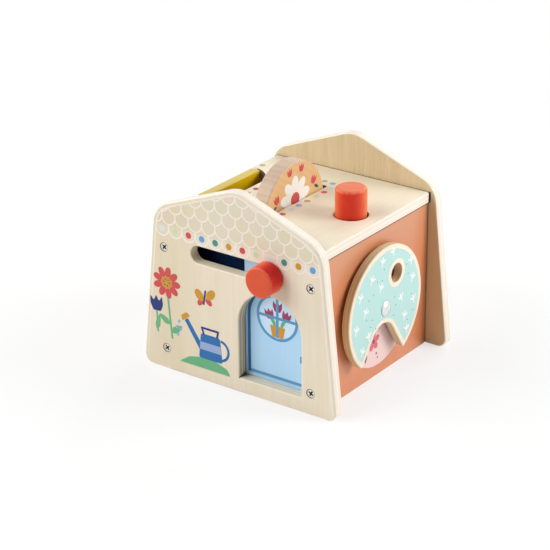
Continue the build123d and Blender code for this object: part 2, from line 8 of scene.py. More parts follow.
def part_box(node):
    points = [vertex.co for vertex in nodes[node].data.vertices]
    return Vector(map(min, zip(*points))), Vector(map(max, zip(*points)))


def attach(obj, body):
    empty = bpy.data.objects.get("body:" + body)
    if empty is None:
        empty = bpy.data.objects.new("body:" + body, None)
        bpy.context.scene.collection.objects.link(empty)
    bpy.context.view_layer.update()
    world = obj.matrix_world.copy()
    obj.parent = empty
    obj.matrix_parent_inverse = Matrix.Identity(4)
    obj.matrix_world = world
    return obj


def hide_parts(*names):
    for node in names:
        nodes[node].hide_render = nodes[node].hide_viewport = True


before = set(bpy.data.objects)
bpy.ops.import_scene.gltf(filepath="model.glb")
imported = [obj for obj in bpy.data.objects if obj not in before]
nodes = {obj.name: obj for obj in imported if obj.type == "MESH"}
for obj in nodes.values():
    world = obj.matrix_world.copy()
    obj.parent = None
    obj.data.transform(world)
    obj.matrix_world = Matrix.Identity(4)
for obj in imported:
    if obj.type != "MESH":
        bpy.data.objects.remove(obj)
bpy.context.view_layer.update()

X, Y, Z = 0, 1, 2
EVEN = (1, 1, 1)
MM = 0.001

# The gables' outline, and the white roof scales printed on the front one, in millimetres
GABLE_FOOT, GABLE_SHOULDER, SHOULDER_HEIGHT, PEAK_HEIGHT = 85.0, 71.7, 125.2, 152.8
FIRST_SCALE, SCALE_WIDTH, SCALE_FOOT, SCALE_ROW = -64.6, 11.75, 104.7, 9.1


# ---- Finishes: every one is built from nodes on Object coordinates, in millimetres

def add_node(tree, kind, inputs=(), **settings):
    """Adds a shader node, each input with a value of its own or linked to another node's output."""
    node = tree.nodes.new("ShaderNode" + kind)
    for key, value in settings.items():
        setattr(node, key, value)
    for socket, value in dict(inputs).items():
        if isinstance(value, bpy.types.NodeSocket):
            tree.links.new(value, node.inputs[socket])
        else:
            node.inputs[socket].default_value = value
    return node


class Finish:
    """One finish of the house, put together node by node."""

    def __init__(self, name, roughness=0.5, **sockets):
        self.material = bpy.data.materials.new(name)
        self.material.use_nodes = True
        self.tree = self.material.node_tree
        self.surface = self.tree.nodes["Principled BSDF"]
        self.surface.inputs["Roughness"].default_value = roughness
        for socket, value in sockets.items():
            self.surface.inputs[socket.replace("_", " ")].default_value = value
        where = self.add("TexCoord")
        scaled = self.add("VectorMath", {0: where.outputs["Object"], "Scale": 1 / MM}, operation="SCALE")
        self.place = scaled.outputs[0]
        self.xyz = self.add("SeparateXYZ", {0: self.place}).outputs
        self.normal = where.outputs["Normal"]
        self.facing = self.add("SeparateXYZ", {0: self.normal}).outputs

    def add(self, kind, inputs=(), **settings):
        return add_node(self.tree, kind, inputs, **settings)

    def sum(self, operation, a, b=0.0, c=0.0):
        """One sum on up to three numbers or outputs."""
        return self.add("Math", {0: a, 1: b, 2: c}, operation=operation).outputs[0]

    def step(self, value, low, high):
        """0 below low, 1 above high and a smooth rise between them."""
        inputs = {"Value": value, "From Min": low, "From Max": high}
        return self.add("MapRange", inputs, interpolation_type="SMOOTHSTEP").outputs[0]

    def mix(self, share, first, second):
        """The first colour where share is 0 and the second where it is 1."""
        first, second = (v if isinstance(v, bpy.types.NodeSocket) else (*v, 1.0) for v in (first, second))
        return self.add("Mix", {0: share, 6: first, 7: second}, data_type="RGBA").outputs[2]

    def noise(self, scale, size, detail=2.0, twist=0.0):
        """Noise whose grain is size mm, stretched by scale along X, Y and Z."""
        mapped = self.add("Mapping", {"Vector": self.place, "Scale": scale})
        inputs = {"Vector": mapped.outputs[0], "Scale": 1 / size, "Detail": detail, "Distortion": twist}
        return self.add("TexNoise", inputs).outputs[0]

    def colour(self, value):
        self.tree.links.new(value, self.surface.inputs["Base Color"])

    def gloss(self, value, low, high):
        """Roughness that varies with value between low and high."""
        ranged = self.add("MapRange", {"Value": value, "To Min": low, "To Max": high}).outputs[0]
        self.tree.links.new(ranged, self.surface.inputs["Roughness"])

    def relief(self, height, deep):
        """A fine relief, deep mm from its lowest to its highest."""
        bump = self.add("Bump", {"Height": height, "Distance": deep * MM, "Strength": 1.0})
        self.tree.links.new(bump.outputs[0], self.surface.inputs["Normal"])


def lengthwise(grain, much):
    """Stretch factors that draw a pattern out along the grain."""
    return tuple(much if axis == grain else 1.0 for axis in (X, Y, Z))


def wood_grain(f, grain, pale, dark, pore=0.35):
    """Broad bands, fine streaks and short pores along one axis. Returns the colour and the streaks."""
    bands = f.noise(lengthwise(grain, 0.10), 15.0, twist=0.6)
    streaks = f.noise(lengthwise(grain, 0.025), 1.5, 4.0, 0.2)
    fine = f.noise(lengthwise(grain, 0.05), 0.35)
    share = f.sum("MULTIPLY_ADD", bands, 0.55, f.sum("MULTIPLY", streaks, 0.45))
    tone = f.mix(f.step(share, 0.34, 0.68), pale, dark)
    pores = f.sum("MULTIPLY", f.step(fine, 0.60, 0.78), pore)
    return f.mix(pores, tone, tuple(0.62 * part for part in dark)), streaks


EDGE_PALE, EDGE_DARK, EDGE_WORN = (0.87, 0.80, 0.71), (0.79, 0.69, 0.56), (0.89, 0.84, 0.76)


def ply_edge(f, board, middle, thickness, pale=EDGE_PALE, dark=EDGE_DARK, glue=0.3):
    """The five plies of a board, seen on its cut edges, with thin glue lines between them."""
    plies = 5
    depth = f.sum("MULTIPLY_ADD", f.xyz[board], plies / thickness, plies / 2 - middle * plies / thickness)
    wobble = f.sum("MULTIPLY_ADD", f.noise(EVEN, 6.0), 0.16, depth)
    layer = f.sum("MODULO", f.sum("FLOOR", wobble), 2.0)
    line = f.step(f.sum("ABSOLUTE", f.sum("SUBTRACT", f.sum("FRACT", wobble), 0.5)), 0.40, 0.49)
    tone = f.mix(f.sum("MULTIPLY_ADD", f.noise(EVEN, 0.8, 3.0), 0.25, f.sum("MULTIPLY", layer, 0.6)), pale, dark)
    return f.mix(f.sum("MULTIPLY", line, glue), tone, tuple(0.5 * part for part in dark))


def on_face(f, board):
    """1 on the board's two faces and 0 on its edges."""
    return f.step(f.sum("ABSOLUTE", f.facing[board]), 0.78, 0.94)


def on_rounded_edge(f, board):
    """1 on the eased edge between face and edge, where handling wears it."""
    tilt = f.sum("ABSOLUTE", f.facing[board])
    return f.sum("MULTIPLY", f.step(tilt, 0.15, 0.5), f.step(tilt, 0.97, 0.75))


def handled_edge(f, board, middle, thickness, *plies):
    """The plies on the cut edges, rubbed paler where face and edge meet."""
    rubbed = f.sum("MULTIPLY", on_rounded_edge(f, board), 0.4)
    return f.mix(rubbed, ply_edge(f, board, middle, thickness, *plies), EDGE_WORN)


def lacquer(f, streaks, deep=0.02, low=0.34, high=0.50):
    """Gloss and relief that follow the wood's streaks."""
    f.gloss(streaks, low, high)
    f.relief(streaks, deep)


PALE_PLY, TAN_PLY = (0.82, 0.72, 0.565), (0.78, 0.67, 0.50)
INNER_PALE, INNER_TAN = (0.735, 0.595, 0.365), (0.655, 0.505, 0.29)
# Dark tones painted on cut edges as shade: in the roof's finger opening, in its slots and at its joints
FINGER_SHADE, SLOT_SHADE, JOINT_SHADE = (0.15, 0.095, 0.040), (0.10, 0.06, 0.03), (0.05, 0.03, 0.02)


def plywood(name, board, grain, middle, thickness, pale=PALE_PLY, dark=TAN_PLY, plies=(), cut_within=None, joint=None):
    """A board with its veneer on the faces and its plies on the edges. Within cut_within of the middle the edges of
    its openings are painted dark brown as shade, all but the left of the button's hole. The edges are painted dark
    as shade near joint, the board's end."""
    f = Finish(name, Coat_Weight=0.04, Coat_Roughness=0.3, Specular_IOR_Level=0.3)
    tone, streaks = wood_grain(f, grain, pale, dark, 0.15)
    edge = handled_edge(f, board, middle, thickness, *plies)
    if cut_within:
        finger_end, clean_middle, clean_reach = -34.0, 35.0, 8.5
        inside = [f.step(f.sum("ABSOLUTE", f.xyz[axis]), cut_within, cut_within - 2.0) for axis in (X, Y)]
        from_clean = f.sum("ABSOLUTE", f.sum("SUBTRACT", f.xyz[X], clean_middle))
        unshaded = f.step(from_clean, clean_reach + 2.0, clean_reach)
        # Painted shade: the cut edges of the openings are dark brown, as if in shadow
        opening_shade = f.mix(f.step(f.xyz[X], finger_end, finger_end + 4.0), FINGER_SHADE, SLOT_SHADE)
        edge = f.mix(f.sum("MULTIPLY", *inside), edge, f.mix(unshaded, opening_shade, edge))
    if joint:
        # Painted shade: the edges darken towards the board's end, where it meets the gable
        edge = f.mix(f.step(f.sum("ABSOLUTE", f.xyz[Y]), joint - 1.9, joint - 1.0), edge, JOINT_SHADE)
    f.colour(f.mix(on_face(f, board), edge, tone))
    lacquer(f, streaks)
    return f.material


def outline_distance(f):
    """How far a point of the gable lies inside its edge, with the corners rounded."""
    peak_ease, shoulder_ease = 12.0, 15.0
    x = f.sum("SQRT", f.sum("MULTIPLY_ADD", f.xyz[X], f.xyz[X], peak_ease))
    z = f.xyz[Z]
    side = Vector((SHOULDER_HEIGHT, GABLE_FOOT - GABLE_SHOULDER)).normalized()
    slope = Vector((PEAK_HEIGHT - SHOULDER_HEIGHT, GABLE_SHOULDER)).normalized()
    to_side = f.sum("SUBTRACT", GABLE_FOOT * side.x, f.sum("MULTIPLY_ADD", x, side.x, f.sum("MULTIPLY", z, side.y)))
    across_slope = f.sum("MULTIPLY_ADD", x, slope.x, f.sum("MULTIPLY", z, slope.y))
    to_slope = f.sum("SUBTRACT", PEAK_HEIGHT * slope.y, across_slope)
    return f.sum("SMOOTH_MIN", to_side, to_slope, shoulder_ease)


def scale_rows(f):
    """Roof scales in staggered rows: their white outlines, the field they fill and a number for each scale."""
    radius, line_core, line_edge = SCALE_WIDTH / 2, 0.40, 0.68
    low = SCALE_FOOT - 0.6
    row = f.sum("FLOOR", f.sum("MULTIPLY_ADD", f.xyz[Z], 1 / SCALE_ROW, -low / SCALE_ROW))
    up = f.sum("SUBTRACT", f.sum("SUBTRACT", f.xyz[Z], SCALE_FOOT), f.sum("MULTIPLY", row, SCALE_ROW))

    def column(of_row):
        shift = f.sum("MULTIPLY", f.sum("FLOORED_MODULO", of_row, 2.0), 0.5)
        across = f.sum("MULTIPLY_ADD", f.xyz[X], 1 / SCALE_WIDTH, 0.5 - FIRST_SCALE / SCALE_WIDTH)
        return f.sum("ADD", across, shift)

    across = f.sum("MULTIPLY", f.sum("SUBTRACT", f.sum("FRACT", column(row)), 0.5), SCALE_WIDTH)
    below = f.sum("MINIMUM", f.sum("SUBTRACT", up, radius), 0.0)
    out = f.sum("SQRT", f.sum("MULTIPLY_ADD", across, across, f.sum("MULTIPLY", below, below)))
    out = f.sum("SUBTRACT", out, radius)
    line = f.step(f.sum("ABSOLUTE", out), line_edge, line_core)
    outside = f.sum("GREATER_THAN", out, 0.0)
    owner = f.sum("SUBTRACT", row, outside)
    field = f.sum("GREATER_THAN", owner, -0.5)
    reached = f.sum("GREATER_THAN", row, -0.5)
    number = f.add("CombineXYZ", {0: f.sum("FLOOR", column(owner)), 1: owner}).outputs[0]
    pick = f.add("TexWhiteNoise", {"Vector": number}, noise_dimensions="2D").outputs[0]
    return f.sum("MULTIPLY", line, reached), field, pick


SCALE_TINTS = {
    0.0: (0.690, 0.610, 0.430), 0.3: (0.695, 0.625, 0.48), 0.52: (0.71, 0.605, 0.485), 0.74: (0.67, 0.62, 0.465),
    0.9: (0.71, 0.635, 0.46),
}
FIRST_ROW_TINT, YELLOWER_PLY, WHITE_LINE = (0.80, 0.715, 0.60), (0.64, 0.53, 0.305), (0.87, 0.80, 0.72)


def scale_tint(f, pick):
    """One of five close tints for each scale, and a paler one for the first row."""
    tints = f.add("ValToRGB", {0: pick})
    ramp = tints.color_ramp
    ramp.interpolation = "CONSTANT"
    for start, tint in SCALE_TINTS.items():
        stop = ramp.elements.new(start) if start else ramp.elements[0]
        stop.position = start
        stop.color = (*tint, 1.0)
    ramp.elements.remove(ramp.elements[-1])
    return f.mix(f.step(f.xyz[Z], 113.2, 112.0), tints.outputs[0], FIRST_ROW_TINT)


def opening_edge(f, middle, thickness):
    """The cut edges of the doorway and, above slot_foot, of the knob's slot. The jamb's plies are darker than the
    sill's and the slot's pale ones, partly as painted shade. A painted shade widens inwards from the doorway's left
    corner, and a dark painted shade runs along the edges near the inner face."""
    slot_foot, corner, doorway_shade_tone = 84.5, 12.4, (0.03, 0.02, 0.01)
    jamb = ply_edge(f, Y, middle, thickness, (0.84, 0.74, 0.54), (0.47, 0.335, 0.17), 0.65)
    sill = ply_edge(f, Y, middle, thickness, (0.90, 0.81, 0.62), (0.80, 0.68, 0.48), 0.6)
    slot = ply_edge(f, Y, middle, thickness, (0.90, 0.83, 0.64), (0.84, 0.76, 0.57), 0.15)
    doorway = f.mix(f.step(f.facing[Z], 0.4, 0.8), jamb, sill)
    cut = f.mix(f.step(f.xyz[Z], slot_foot, slot_foot + 1.5), doorway, slot)
    outer_face, inner_face = middle - thickness / 2, middle + thickness / 2
    reach = f.sum("MULTIPLY_ADD", f.xyz[Y], 0.42, 0.2 - 0.42 * outer_face)
    from_corner = f.sum("DIVIDE", f.sum("SUBTRACT", f.sum("ADD", f.xyz[X], f.xyz[Z]), corner), reach)
    seam_shade = f.sum("MULTIPLY", f.step(f.xyz[Y], inner_face - 1.5, inner_face - 0.5), f.step(f.facing[Z], 0.4, 0.1))
    # Painted shade in the doorway's lower left corner and along the edges near the inner face
    doorway_shade = f.sum("MAXIMUM", f.sum("MULTIPLY", f.step(from_corner, 1.5, 0.1), 0.9), f.sum("MULTIPLY", seam_shade, 0.65))
    return f.mix(doorway_shade, cut, doorway_shade_tone)


def printed_gable(name, middle, thickness):
    """The front gable: pale plywood, yellower towards the left, with white roof scales and a white line round its
    edge, tan veneer inside, and the cut edges of its openings."""
    margin, line_core, line_edge, openings_side, openings_top = 2.9, 0.36, 0.62, 60.0, 106.0
    f = Finish(name, Coat_Weight=0.08, Coat_Roughness=0.3)
    tone, streaks = wood_grain(f, Z, PALE_PLY, TAN_PLY, 0.15)
    line, field, pick = scale_rows(f)
    inside = outline_distance(f)
    printed_area = f.step(inside, margin - 0.3, margin)
    tone = f.mix(f.sum("MULTIPLY", f.sum("MULTIPLY", field, printed_area), 0.75), tone, scale_tint(f, pick))
    broad = f.sum("MULTIPLY", f.noise(lengthwise(Z, 0.15), 22.0), 0.68)
    tone = f.mix(f.sum("MULTIPLY", f.step(f.xyz[X], -8.0, -66.0), broad), tone, YELLOWER_PLY)
    border = f.sum("MULTIPLY", f.step(f.sum("ABSOLUTE", f.sum("SUBTRACT", inside, margin)), line_edge, line_core),
                   f.step(f.xyz[Z], 4.0, 9.0))
    white = f.sum("MULTIPLY", f.sum("MAXIMUM", f.sum("MULTIPLY", line, printed_area), border), 0.86)
    tone = f.mix(white, tone, WHITE_LINE)
    inner, _ = wood_grain(f, Z, INNER_PALE, INNER_TAN, 0.5)
    tone = f.mix(f.step(f.facing[Y], 0.0, -0.5), inner, tone)
    opening = f.sum("MULTIPLY", f.step(f.sum("ABSOLUTE", f.xyz[X]), openings_side + 2.0, openings_side),
                    f.step(f.xyz[Z], openings_top + 2.0, openings_top))
    edge = f.mix(opening, handled_edge(f, Y, middle, thickness), opening_edge(f, middle, thickness))
    f.colour(f.mix(on_face(f, Y), edge, tone))
    lacquer(f, streaks)
    return f.material


def back_gable(name, middle, thickness):
    """The back gable: tan veneer inside, ruddier low down as painted light bounced off the terracotta wall, and
    painted dark as shade where it meets the walls and the roof, which stands out a little further, and pale
    veneer outside."""
    bounced_ruddy_tan, joint_shade_tone = (0.66, 0.445, 0.235), (0.05, 0.025, 0.01)
    wall_face, roof_overhang, roof_foot, roof_top = 67.1, 1.4, 111.8, 120.7
    f = Finish(name, Coat_Weight=0.08, Coat_Roughness=0.3)
    inner, streaks = wood_grain(f, Z, INNER_PALE, INNER_TAN, 0.6)
    outer, _ = wood_grain(f, Z, PALE_PLY, TAN_PLY)
    # Painted light: a ruddy tint low on the inner face stands for warm light bounced off the terracotta wall
    inner = f.mix(f.sum("MULTIPLY", f.step(f.xyz[Z], 124.0, 104.0), 0.7), inner, bounced_ruddy_tan)
    tone = f.mix(f.step(f.facing[Y], 0.0, -0.5), outer, inner)
    # Painted shade: the inner face goes nearly black along its joints with the wall and the roof
    at_roof = f.step(f.xyz[Z], roof_foot, roof_foot + 0.8)
    out = f.sum("SUBTRACT", f.sum("ABSOLUTE", f.xyz[X]), f.sum("MULTIPLY", at_roof, roof_overhang))
    within = f.sum("MULTIPLY", f.step(out, wall_face, wall_face - 0.6), f.step(f.xyz[Z], roof_top, roof_top - 0.4))
    joint = f.sum("MULTIPLY", within, f.step(f.facing[Y], -0.5, -0.9))
    strength = f.sum("MULTIPLY_ADD", at_roof, 0.4, 0.5)
    tone = f.mix(f.sum("MULTIPLY", joint, strength), tone, joint_shade_tone)
    f.colour(f.mix(on_face(f, Y), handled_edge(f, Y, middle, thickness), tone))
    lacquer(f, streaks)
    return f.material


BARE_WOOD = (0.78, 0.62, 0.42)


def painted_board(name, paint, board, grain, raw_edge=None, low=0.30, high=0.44, joint=None, top=None, upper=None,
                  **sheen):
    """Satin paint that lets a little of the wood's grain through and is thin on eased edges. It is painted dark as
    shade at a joint, given by the board's end and the height under the roof. Towards the board's top edge it turns to a
    painted sheen, and to top on faces that look up. A board with a raw edge shows its plies there."""
    f = Finish(name, **sheen)
    deep = tuple(0.94 * part for part in paint)
    tone, streaks = wood_grain(f, grain, paint, deep, 0.02)
    if upper:
        # Painted sheen: the paint turns paler and less red towards the board's top edge
        tone = f.mix(f.step(f.xyz[Z], 70.0, 116.0), tone, upper)
    patchy, full = f.noise(EVEN, 40.0), tuple(min(1.0, 1.12 * part) for part in paint)
    tone = f.mix(f.sum("MULTIPLY", f.step(patchy, 0.3, 0.7), 0.12), tone, full)
    thin = tuple(0.6 * part + 0.4 * wood for part, wood in zip(paint, BARE_WOOD))
    tone = f.mix(f.sum("MULTIPLY", on_rounded_edge(f, board), 0.25), tone, thin)
    if joint:
        end, under = joint
        # Painted shade: the paint goes dark at the board's ends and just under the roof's edge
        painted_joint_shade = f.sum("MAXIMUM", f.step(f.sum("ABSOLUTE", f.xyz[Y]), end - 0.9, end - 0.1),
                       f.step(f.xyz[Z], under - 1.9, under - 1.4))
        tone = f.mix(f.sum("MULTIPLY", painted_joint_shade, 0.85), tone, tuple(0.25 * part for part in paint))
    if raw_edge:
        edge = ply_edge(f, board, *raw_edge)
        tone = f.mix(on_face(f, board), edge, tone)
    if top:
        tone = f.mix(f.step(f.facing[Z], 0.4, 0.9), tone, top)
    f.colour(tone)
    lacquer(f, streaks, 0.015, low, high)
    return f.material


def turned_lacquer(name, side, end, axis, shade_axis, lit_tone, bounds):
    """Orange-red lacquer on turned wood, rubbed paler on its rim as wear and a painted highlight, with faint lathe
    lines. It is lighter on the end grain, partly a painted highlight. On the sides it is deep red as painted shade
    where it faces along one given direction or against it, and paler orange as painted light on each side between
    the two."""
    rubbed_highlight_tone = (0.90, 0.36, 0.20)
    f = Finish(name, Coat_Weight=0.08, Coat_Roughness=0.2, Specular_IOR_Level=0.25)
    cloud = f.noise(EVEN, 9.0)
    rings = f.noise(tuple(1.0 if a == axis else 0.05 for a in (X, Y, Z)), 0.7)
    turned = f.add("VectorMath", {0: f.normal, 1: shade_axis}, operation="DOT_PRODUCT").outputs["Value"]
    # Painted light and shade: deep red along the given direction and against it, orange on the sides between
    side = f.mix(f.step(f.sum("ABSOLUTE", turned), *bounds), lit_tone, side)
    paint = f.mix(f.step(f.sum("ABSOLUTE", f.facing[axis]), 0.65, 0.98), side, end)
    tone = f.mix(f.step(cloud, 0.3, 0.7), paint, f.mix(0.06, paint, (0, 0, 0)))
    # Wear and a painted highlight: the rounded rim is lighter
    rubbed = f.sum("MULTIPLY", on_rounded_edge(f, axis), f.step(f.noise(EVEN, 3.0, 3.0), 0.35, 0.7))
    f.colour(f.mix(f.sum("MULTIPLY", rubbed, 0.35), tone, rubbed_highlight_tone))
    f.gloss(cloud, 0.38, 0.50)
    f.relief(rings, 0.012)
    return f.material


def solid_disc_wood(name):
    """Quarter-sawn solid wood: straight lines on the faces that run on across the rim."""
    face_tones, rim_tones = ((0.72, 0.46, 0.22), (0.66, 0.40, 0.18)), ((0.60, 0.45, 0.335), (0.50, 0.355, 0.245))
    rings_per_mm = 0.21
    f = Finish(name, Coat_Weight=0.08, Coat_Roughness=0.35)
    slanted = f.sum("MULTIPLY_ADD", f.xyz[Z], 0.85, f.sum("MULTIPLY", f.xyz[Y], 0.52))
    wander = f.sum("MULTIPLY_ADD", f.noise(lengthwise(X, 0.3), 14.0), 5.0, slanted)
    ring = f.step(f.sum("FRACT", f.sum("MULTIPLY", wander, rings_per_mm)), 0.25, 1.0)
    fine = f.noise(lengthwise(X, 0.15), 0.6, 3.0)
    share = f.sum("MULTIPLY_ADD", fine, 0.5, f.sum("MULTIPLY", ring, 0.3))
    darker = f.step(share, 0.1, 0.9)
    f.colour(f.mix(on_face(f, X), f.mix(darker, *rim_tones), f.mix(darker, *face_tones)))
    f.gloss(fine, 0.42, 0.58)
    f.relief(share, 0.02)
    return f.material


def plain_wood(name, grain):
    """Bare wood of the hidden pieces."""
    f = Finish(name)
    tone, streaks = wood_grain(f, grain, (0.66, 0.50, 0.31), (0.52, 0.36, 0.20), 0.5)
    f.colour(tone)
    lacquer(f, streaks, 0.03, 0.5, 0.68)
    return f.material


def steel(name, tone, roughness, brushed=0.25, recess=None):
    """Brushed steel, painted nearly black as shade below the recess's distance from the middle of the house."""
    f = Finish(name, roughness, Metallic=1.0)
    marks = f.noise(EVEN, 0.5, 3.0)
    cloud = f.noise(EVEN, 4.0)
    bright = f.mix(f.step(cloud, 0.3, 0.7), tone, tuple(0.82 * part for part in tone))
    if recess:
        # Painted shade: nearly black inside the screws' sunk crosses and at the rims of their heads
        in_recess = f.step(f.sum("ABSOLUTE", f.xyz[Y]), recess, recess - 0.1)
        bright = f.mix(in_recess, bright, (0.015, 0.013, 0.01))
    f.colour(bright)
    f.gloss(marks, roughness * (1 - brushed), roughness * (1 + brushed))
    f.relief(marks, 0.004)
    return f.material


def ink(name, tone):
    """Print ink, with the wood's streaks just visible in it and a few darker specks."""
    f = Finish(name, Specular_IOR_Level=0.35)
    streaks = f.noise(lengthwise(Z, 0.025), 1.5, 4.0, 0.2)
    speck = f.noise(EVEN, 0.45)
    laid = f.mix(f.sum("MULTIPLY", f.step(streaks, 0.4, 0.7), 0.06), tone, tuple(0.7 * part + 0.15 for part in tone))
    f.colour(f.mix(f.sum("MULTIPLY", f.step(speck, 0.62, 0.8), 0.10), laid, tuple(0.8 * part for part in tone)))
    lacquer(f, streaks, 0.01, 0.36, 0.5)
    return f.material


INKS = {
    "red": (0.60, 0.066, 0.068), "magenta": (0.33, 0.04, 0.12), "ochre": (0.60, 0.285, 0.018),
    "navy": (0.009, 0.032, 0.18), "blue": (0.014, 0.14, 0.40), "sky": (0.12, 0.34, 0.67),
    "periwinkle": (0.30, 0.40, 0.64), "green": (0.13, 0.43, 0.20), "teal": (0.05, 0.27, 0.21),
    "deep_teal": (0.015, 0.06, 0.08), "pale_green": (0.58, 0.69, 0.38), "pale_blue": (0.68, 0.72, 0.70),
    "white": (0.86, 0.85, 0.82), "frame_blue": (0.095, 0.305, 0.54), "pane_blue": (0.585, 0.785, 0.95),
    "turquoise": (0.455, 0.69, 0.655), "pink": (0.82, 0.60, 0.58), "rose": (0.66, 0.14, 0.17),
    "plum": (0.20, 0.07, 0.14), "moon": (0.85, 0.74, 0.42), "countersink_shade": (0.070, 0.042, 0.020),
    "sage": (0.36, 0.43, 0.27), "drab": (0.50, 0.31, 0.05),
}
inks = {name: ink(name + "_ink", tone) for name, tone in INKS.items()}


# ---- Printed pieces: thin patches of ink that lie on the wood

SIDES = {
    "front": ((1, 0, 0), (0, 0, 1), Y, 0), "right": ((0, 1, 0), (0, 0, 1), X, 1), "top": ((1, 0, 0), (0, 1, 0), Z, 1),
}
# A print's film reaches this far into its board, and as far out of it for each level. STAGGER keeps crossing patches
# of one colour off each other's plane.
FILM, STAGGER = 0.03, 0.002


def lying_on(node, side):
    """The matrix that lays a sheet drawn in millimetres on one side of a CAD node."""
    across, up, axis, end = SIDES[side]
    origin = Vector((0, 0, 0))
    origin[axis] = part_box(node)[end][axis]
    out = Vector(across).cross(Vector(up))
    turned = Matrix((across, up, out)).transposed().to_4x4()
    return Matrix.Translation(origin) @ turned @ Matrix.Scale(MM, 4)


def at(x, y, turn=0.0, wide=1.0, high=1.0):
    """Turns and stretches a patch, then puts it at (x, y)."""
    return Matrix.Translation((x, y, 0)) @ Matrix.Rotation(radians(turn), 4, "Z") @ Matrix.Diagonal((wide, high, 1, 1))


def spot(place, sides=28):
    """A round or oval spot one millimetre across before place scales it."""
    patch = bmesh.new()
    bmesh.ops.create_circle(patch, cap_ends=True, cap_tris=False, segments=sides, radius=0.5)
    patch.transform(place)
    return patch


def dot(x, y, size, sides=28):
    """A round spot, size across."""
    return spot(at(x, y, 0, size, size), sides)


def cut_out(corners, soften, place=Matrix.Identity(4), segments=5):
    """A patch from a few corners, each rounded off by the length soften."""
    patch = bmesh.new()
    patch.faces.new([patch.verts.new((x, y, 0)) for x, y in corners])
    bmesh.ops.bevel(patch, geom=patch.verts[:], offset=soften, offset_type="OFFSET", affect="VERTICES",
                    segments=segments, profile=0.5, material=-1)
    patch.transform(place)
    return patch


def block(left, low, right, high, soften=0.05):
    """A rectangle between two corners."""
    return cut_out([(left, low), (right, low), (right, high), (left, high)], soften)


def arc_band(x, y, outer, inner, start=0.0, sweep=360.0, steps=64):
    """A ring, or a stretch of one, spun from its cross-section."""
    patch = bmesh.new()
    edge = patch.edges.new([patch.verts.new((inner, 0, 0)), patch.verts.new((outer, 0, 0))])
    bmesh.ops.spin(patch, geom=[*edge.verts, edge], cent=(0, 0, 0), axis=(0, 0, 1), dvec=(0, 0, 0),
                   angle=radians(sweep), steps=steps, use_merge=sweep == 360.0, use_duplicate=False)
    patch.transform(at(x, y, start))
    return patch


def stroke(x0, y0, x1, y1, width):
    """A straight brush stroke with round ends."""
    half, rim = (hypot(x1 - x0, y1 - y0) + width) / 2, width / 2
    turn = degrees(atan2(y1 - y0, x1 - x0))
    corners = [(-half, -rim), (half, -rim), (half, rim), (-half, rim)]
    return cut_out(corners, 0.46 * width, at((x0 + x1) / 2, (y0 + y1) / 2, turn))


def piece_from(solid, name, finish, body, smooth=False):
    """Finishes a bmesh as a piece of the house that rides on one body."""
    mesh = bpy.data.meshes.new(name)
    solid.to_mesh(mesh)
    solid.free()
    mesh.materials.append(finish)
    if smooth:
        mesh.shade_smooth()
    piece = bpy.data.objects.new(name, mesh)
    bpy.context.scene.collection.objects.link(piece)
    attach(piece, body)
    return piece


def printed(name, patches, place, colour, body, level=1):
    """One colour of a print. Each patch is a film of ink, and higher levels lie over lower ones."""
    whole = bmesh.new()
    for count, patch in enumerate(patches):
        top = bmesh.ops.extrude_face_region(patch, geom=patch.faces[:])["geom"]
        raised = [v for v in top if isinstance(v, bmesh.types.BMVert)]
        bmesh.ops.translate(patch, verts=patch.verts[:], vec=(0, 0, -FILM))
        bmesh.ops.translate(patch, verts=raised, vec=(0, 0, FILM + FILM * level + STAGGER * (count % 6)))
        bmesh.ops.recalc_face_normals(patch, faces=patch.faces[:])
        film = bpy.data.meshes.new("film")
        patch.to_mesh(film)
        patch.free()
        whole.from_mesh(film)
        bpy.data.meshes.remove(film)
    whole.transform(place)
    bmesh.ops.recalc_face_normals(whole, faces=whole.faces[:])
    return piece_from(whole, name, inks[colour], body)


def blossom(x, y, petals, reach, long, wide, first=0.0):
    """A ring of oval petals."""
    turns = [first + 360 * k / petals for k in range(petals)]
    return [spot(at(x + reach * cos(radians(t)), y + reach * sin(radians(t)), t, long, wide)) for t in turns]


def tulip(x, y, size, turn=0.0):
    """A tulip's cup with three points."""
    corners = [(-0.30, -0.5), (0.30, -0.5), (0.5, -0.05), (0.46, 0.5), (0.2, 0.16), (0, 0.56), (-0.2, 0.16),
               (-0.46, 0.5), (-0.5, -0.05)]
    return cut_out([(size * u, size * v) for u, v in corners], 0.09 * size, at(x, y, turn))


def leaf(x, y, long, wide, turn):
    """A leaf with a pointed tip, its stalk at (x, y)."""
    corners = [(0, 0), (0.3, -0.5), (0.72, -0.36), (1, 0), (0.72, 0.36), (0.3, 0.5)]
    return cut_out([(long * u, wide * v) for u, v in corners], 0.10 * long, at(x, y, turn))


def star(x, y, size, turn=0.0):
    """A star with five points."""
    spikes = [(size * (0.5 if k % 2 == 0 else 0.22), radians(90 + 36 * k)) for k in range(10)]
    return cut_out([(r * cos(a), r * sin(a)) for r, a in spikes], 0.03 * size, at(x, y, turn), 2)


def seeds(x, y, reach, size):
    """Six dots round a flower's middle."""
    return [dot(x + reach * cos(k), y + reach * sin(k), size) for k in range(6)]


def print_set(prefix, place, body, colours):
    """Several colours of one print: {colour: (level, patches)}."""
    for colour, (level, patches) in colours.items():
        printed(f"{prefix}_{colour}", patches, place, colour, body, level)


# The row of dots under the roof scales
front = lying_on("front_panel", "front")
dot_row = ("pale_blue", "pale_green", "red", "sky", "teal", "ochre", "red", "pale_green", "pale_blue", "teal",
           "ochre", "sky")
dot_row_height = 109.7
print_set("scale_dots", front, "house", {
    colour: (1, [dot(FIRST_SCALE + SCALE_WIDTH * k, dot_row_height, 4.9) for k, c in enumerate(dot_row) if c == colour])
    for colour in sorted(set(dot_row))
})

